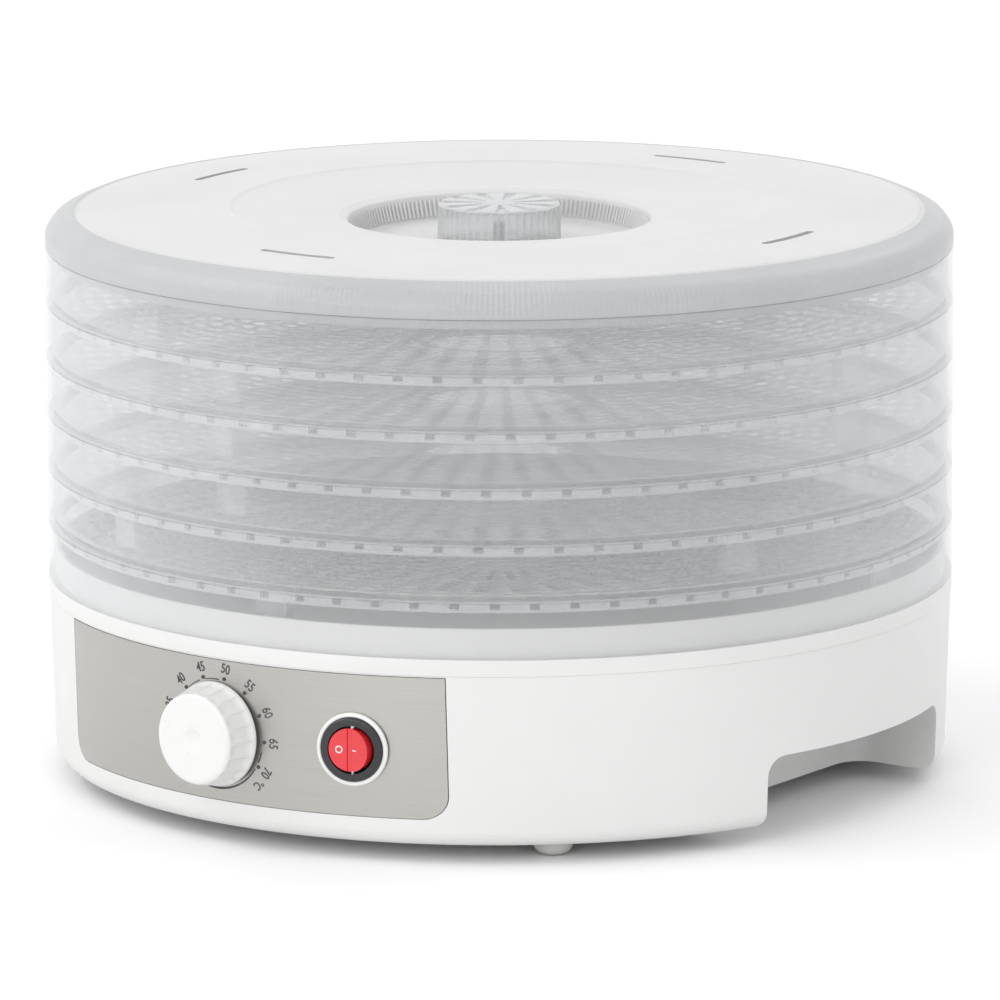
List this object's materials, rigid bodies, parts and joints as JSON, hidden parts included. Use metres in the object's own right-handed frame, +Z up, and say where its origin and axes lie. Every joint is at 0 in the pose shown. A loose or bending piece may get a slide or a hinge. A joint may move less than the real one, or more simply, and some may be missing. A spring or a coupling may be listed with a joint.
{
  "type": "food dehydrator",
  "caption": "Round food dehydrator: base with fan, heater, thermostat dial and rocker switch, clear stacking slotted trays that lift off, and a vented lid with a sunken knob.",
  "frame": {"origin": "on the table, on the axis that the trays, the lid and the fan share", "axes": "+Z up; the control panel faces -Y; +X is on the right as seen from the front"},
  "size_m": [0.32, 0.3426, 0.2025],
  "materials": {
    "white_plastic": "satin white moulded plastic",
    "clear_plastic": "clear moulded plastic",
    "frosted_plastic": "frosted white plastic",
    "clear_knob_plastic": "clear moulded plastic",
    "brushed_panel": "fine brushed steel",
    "black_print": "printed ink",
    "grey_rubber": "matte rubber",
    "black_plastic": "satin black plastic",
    "red_plastic": "clear red plastic",
    "zinc_plate": "zinc plated",
    "motor_laminations": "stacked steel sheets",
    "copper_wire": "enamelled copper",
    "brass_fittings": "plain brass",
    "bright_steel": "ground steel",
    "mica_sheet": "layered mica sheet",
    "heater_wire": "dull resistance wire",
    "cream_plastic": "matte cream plastic",
    "wire_sleeve": "soft sleeve"
  },
  "bodies": {
    "base": {"base_housing": "white_plastic", "bottom_cover": "white_plastic", "top_deck": "white_plastic", "outlet_grille": "white_plastic", "stacking_ring": "clear_plastic", "control_panel": "brushed_panel", "dial_marks": "black_print", "rubber_feet": "grey_rubber", "cover_screws": "zinc_plate", "thermostat_body": "zinc_plate", "thermostat_nut": "zinc_plate", "switch_ring": "white_plastic", "switch_bezel": "black_plastic", "switch_pivot": "bright_steel", "switch_terminals": "brass_fittings", "cable_gland": "black_plastic", "terminal_block": "cream_plastic", "wiring": "wire_sleeve", "motor_stator": "motor_laminations", "motor_coil": "copper_wire", "motor_bracket": "zinc_plate", "bracket_screws": "zinc_plate", "motor_bushes": "brass_fittings", "air_duct": "zinc_plate", "heater_frame": "mica_sheet", "heater_coils": "heater_wire", "thermal_cutout": "black_plastic"},
    "thermostat_control": {"thermostat_knob": "white_plastic", "thermostat_shaft": "zinc_plate"},
    "rocker": {"switch_rocker": "red_plastic"},
    "fan": {"motor_shaft": "bright_steel", "motor_rotor": "motor_laminations", "fan_impeller": "black_plastic"},
    "tray_5": {"tray_5": "clear_plastic", "tray_5_legs": "clear_plastic"},
    "tray_4": {"tray_4": "clear_plastic", "tray_4_legs": "clear_plastic"},
    "tray_3": {"tray_3": "clear_plastic", "tray_3_legs": "clear_plastic"},
    "tray_2": {"tray_2": "clear_plastic", "tray_2_legs": "clear_plastic"},
    "tray_1": {"tray_1": "clear_plastic", "tray_1_legs": "clear_plastic"},
    "lid": {"lid": "frosted_plastic", "lid_knob": "clear_knob_plastic", "lid_knob_screw": "zinc_plate"}
  },
  "joints": [
    {"name": "thermostat_turn", "type": "hinge", "parent": "base", "child": "thermostat_control", "pos_m": [0, -0.15882, 0.0395], "axis": [0, 1, 0], "range_deg": [0, 191.1]},
    {"name": "rocker_tilt", "type": "hinge", "parent": "base", "child": "rocker", "pos_m": [0.05265, -0.15034, 0.0395], "axis": [0, 0, 1], "range_deg": [0, 20]},
    {"name": "fan_spin", "type": "hinge", "parent": "base", "child": "fan", "pos_m": [0, 0, 0.0415], "axis": [0, 0, 1], "continuous": true},
    {"name": "tray_5_lift", "type": "slide", "parent": "base", "child": "tray_5", "axis": [0, 0, 1], "range_m": [0, 0.04]},
    {"name": "tray_4_lift", "type": "slide", "parent": "tray_5", "child": "tray_4", "axis": [0, 0, 1], "range_m": [0, 0.04]},
    {"name": "tray_3_lift", "type": "slide", "parent": "tray_4", "child": "tray_3", "axis": [0, 0, 1], "range_m": [0, 0.04]},
    {"name": "tray_2_lift", "type": "slide", "parent": "tray_3", "child": "tray_2", "axis": [0, 0, 1], "range_m": [0, 0.04]},
    {"name": "tray_1_lift", "type": "slide", "parent": "tray_2", "child": "tray_1", "axis": [0, 0, 1], "range_m": [0, 0.04]},
    {"name": "lid_lift", "type": "slide", "parent": "tray_1", "child": "lid", "axis": [0, 0, 1], "range_m": [0, 0.04]}
  ]
}
